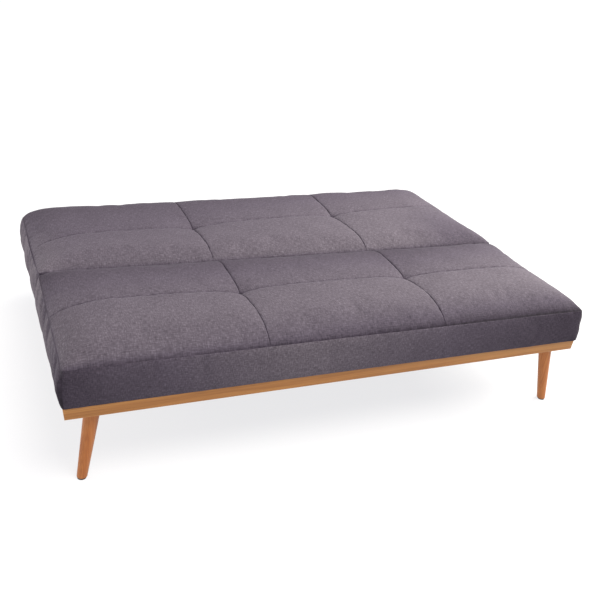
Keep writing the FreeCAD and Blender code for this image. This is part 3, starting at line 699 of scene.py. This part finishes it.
def markCloth(form, shape):
    # keeps how much painted shade each point takes, from creases and rims and from its place on the
    # cushion, for the cover's colour
    crease = form.verts.layers.float.new("crease")
    tone = form.verts.layers.float.new("tone")
    for vert in form.verts:
        vert[crease] = shape.creaseShade(*vert.co)
        vert[tone] = shape.tone(*vert.co)


def asObject(name, form, material):
    mesh = bpy.data.meshes.new(name)
    form.to_mesh(mesh)
    form.free()
    piece = bpy.data.objects.new(name, mesh)
    bpy.context.scene.collection.objects.link(piece)
    mesh.materials.append(material)
    for polygon in mesh.polygons:
        polygon.use_smooth = True
    return piece


settling = {
    "frames": 20,
    "farthest": 3 * mm,  # no point moves more than this
    "cloth": {
        "quality": 4,
        "mass": 0.3,
        "tension_stiffness": 25,
        "compression_stiffness": 8,
        "bending_stiffness": 0.3,
        "shrink_min": -0.012,  # the cover is cut 1.2 percent full
        "use_pressure": True,
        "uniform_pressure_force": 1.2,
    },
}


def settleCloth(piece, pinned):
    # lets the cover find its own slack between the sewn lines, then keeps the moves small
    start = [v.co.copy() for v in piece.data.vertices]
    group = piece.vertex_groups.new(name="sewn")
    group.add(pinned, 1.0, "REPLACE")
    cloth = piece.modifiers.new("cloth", "CLOTH")
    for key, value in settling["cloth"].items():
        setattr(cloth.settings, key, value)
    cloth.settings.vertex_group_mass = "sewn"
    cloth.settings.effector_weights.gravity = 0
    cloth.collision_settings.use_self_collision = False
    for number in range(1, settling["frames"] + 1):
        bpy.context.scene.frame_set(number)
    shaped = piece.evaluated_get(bpy.context.evaluated_depsgraph_get()).to_mesh()
    moved = [v.co.copy() for v in shaped.vertices]
    piece.modifiers.remove(cloth)
    piece.vertex_groups.remove(group)
    bpy.context.scene.frame_set(1)
    for vertex, before, after in zip(piece.data.vertices, start, moved):
        step = after - before
        length = step.length
        vertex.co = before + step * (min(1.0, settling["farthest"] / length) if length > 0 else 0)


def makeCushion(name, spec):
    shape = CushionForm(spec)
    low, high = shape.low, shape.high
    marks = (
        seams["depthwise"] + (low.x, high.x),
        (spec["tuftRow"], low.y, high.y),
        (low.z, high.z),
    )
    cuts = [gridLines(low[i], high[i], seams["grid"][i], marks[i], seams["offsets"]) for i in range(3)]
    form = gridBlock(low, high, cuts)
    topPoints = []
    sewn = []
    form.verts.ensure_lookup_table()
    for vert in form.verts:
        x, y, z = vert.co
        rim = shape.onEnd(x) or y > high.y - hair or y < low.y + hair
        onSeam = min(abs(x - s) for s in seams["depthwise"]) < hair or abs(y - spec["tuftRow"]) < hair
        if shape.onTop(z):
            topPoints.append((vert.index, x, y))
        if z < low.z + hair or (shape.onTop(z) and (rim or onSeam)):
            sewn.append(vert.index)
    bmesh.ops.recalc_face_normals(form, faces=form.faces)
    clothMap(form)
    markCloth(form, shape)
    for vert in form.verts:
        vert.co = shape.place(vert.co)
    piece = asObject(name, form, coverCloth)
    settleCloth(piece, sewn)
    for index, x, y in topPoints:
        piece.data.vertices[index].co.z -= shape.groove(x, y)
    finer = piece.modifiers.new("finer", "SUBSURF")
    finer.levels = 1
    finer.render_levels = 1
    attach(piece, spec["body"])
    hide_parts(spec["cover"], spec["foam"])
    print(name, "made,", len(piece.data.vertices), "vertices")


for name, spec in cushions.items():
    makeCushion(name, spec)


dustCovers = {
    "seatDustCloth": {
        "replaces": "seat_dust_cover",
        "frame": "seat_frame_left",
        "body": "base",
        "seed": 2.0,
    },
    "backDustCloth": {
        "replaces": "back_dust_cover",
        "frame": "back_frame_left",
        "body": "back",
        "seed": 5.0,
    },
}

felt = {
    "thickness": 0.6 * mm,
    "sag": 4 * mm,
    "grid": (64, 20),
    "bearer": 783 * mm,  # the cloth hangs free between the bearers
    "stapled": 14 * mm,  # width held along the front and rear
    "easing": (160 * mm, 150 * mm),  # how far it takes to reach its full sag, in x and in y
    "ripple": (0.8 * mm, 5, 16),  # height, waves per metre in x and in y
}


def makeDustCloth(name, spec):
    low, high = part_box(spec["replaces"])
    size = high - low
    form = bmesh.new()
    across, deep = felt["grid"]
    bmesh.ops.create_grid(form, x_segments=across, y_segments=deep, size=0.5)
    bmesh.ops.scale(form, vec=(size.x, size.y, 1), verts=form.verts)
    middle = (low + high) / 2
    xEase, yEase = felt["easing"]
    height, xWaves, yWaves = felt["ripple"]
    for vert in form.verts:
        x, y, _ = vert.co
        xFree = smooth((felt["bearer"] - abs(x)) / xEase)
        yFree = smooth((size.y / 2 - felt["stapled"] - abs(y)) / yEase)
        ripple = height * noise.noise(Vector((x * xWaves, y * yWaves, spec["seed"])))
        vert.co = (middle.x + x, middle.y + y, high.z - (felt["sag"] + ripple) * xFree * yFree)
    piece = asObject(name, form, dustCloth)
    thicker = piece.modifiers.new("thickness", "SOLIDIFY")
    thicker.thickness = felt["thickness"]
    thicker.offset = 0
    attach(piece, spec["body"])
    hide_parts(spec["replaces"])


for name, spec in dustCovers.items():
    makeDustCloth(name, spec)
print("dust covers made")


studio = {
    "floor": "#7c7b7b",
    "floorGlow": 0.78,  # a backlit acrylic table, which keeps the floor white under the object
    "floorSize": 120,
    "keyTurn": 140,  # degrees from +Y towards +X that the key light comes from
    "keyHeight": 68,
    "keySpread": 38,  # degrees, wide enough for soft shadows
    "keyDistance": 6,
    "keyPower": 3.1,
    "lampColour": (1.0, 0.99, 0.92),
    "sideLamp": {"place": (3.4, 0.2, 2.6), "target": (0.3, 0, 0.4), "power": 232, "size": 2.0},
    "fillLamp": {"place": (-2.3, 0.6, 0.6), "target": (-0.9, 0, 0.35), "power": 16, "size": 1.2},
    "floorColour": (0.99, 0.99, 1.01),
    "sky": 0.42,
    "skyColour": (0.97, 0.97, 1.05),
}


def makeFloor():
    form = bmesh.new()
    bmesh.ops.create_grid(form, x_segments=1, y_segments=1, size=studio["floorSize"])
    material, tree, shader = newMaterial("studioFloor")
    shader.inputs["Base Color"].default_value = hexColour(studio["floor"])
    shader.inputs["Roughness"].default_value = 0.9
    shader.inputs["Specular IOR Level"].default_value = 0.1
    shader.inputs["Emission Color"].default_value = (*studio["floorColour"], 1)
    shader.inputs["Emission Strength"].default_value = studio["floorGlow"]
    floor = asObject("floor", form, material)


def hangLight(name, kind, place, target, power):
    lamp = bpy.data.lights.new(name, kind)
    lamp.energy = power
    lamp.color = studio["lampColour"]
    rig = bpy.data.objects.new(name, lamp)
    bpy.context.scene.collection.objects.link(rig)
    aim = Vector(target) - Vector(place)
    rig.matrix_world = Matrix.Translation(place) @ aim.to_track_quat("-Z", "Y").to_matrix().to_4x4()
    return lamp


def lightRoom():
    turn = math.radians(studio["keyTurn"])
    height = math.radians(studio["keyHeight"])
    level = math.cos(height)
    towards = Vector((math.sin(turn) * level, math.cos(turn) * level, math.sin(height)))
    place = towards * studio["keyDistance"]
    key = hangLight("key", "SUN", place, (0, 0, 0), studio["keyPower"])
    key.angle = math.radians(studio["keySpread"])
    for name in ("sideLamp", "fillLamp"):
        lamp = studio[name]
        hangLight(name, "AREA", lamp["place"], lamp["target"], lamp["power"]).size = lamp["size"]
    world = bpy.data.worlds.new("studio")
    world.use_nodes = True
    backdrop = world.node_tree.nodes["Background"]
    backdrop.inputs["Color"].default_value = (*studio["skyColour"], 1)
    backdrop.inputs["Strength"].default_value = studio["sky"]
    bpy.context.scene.world = world
    bpy.context.scene.view_settings.view_transform = "Standard"


makeFloor()
lightRoom()
print("room lit")
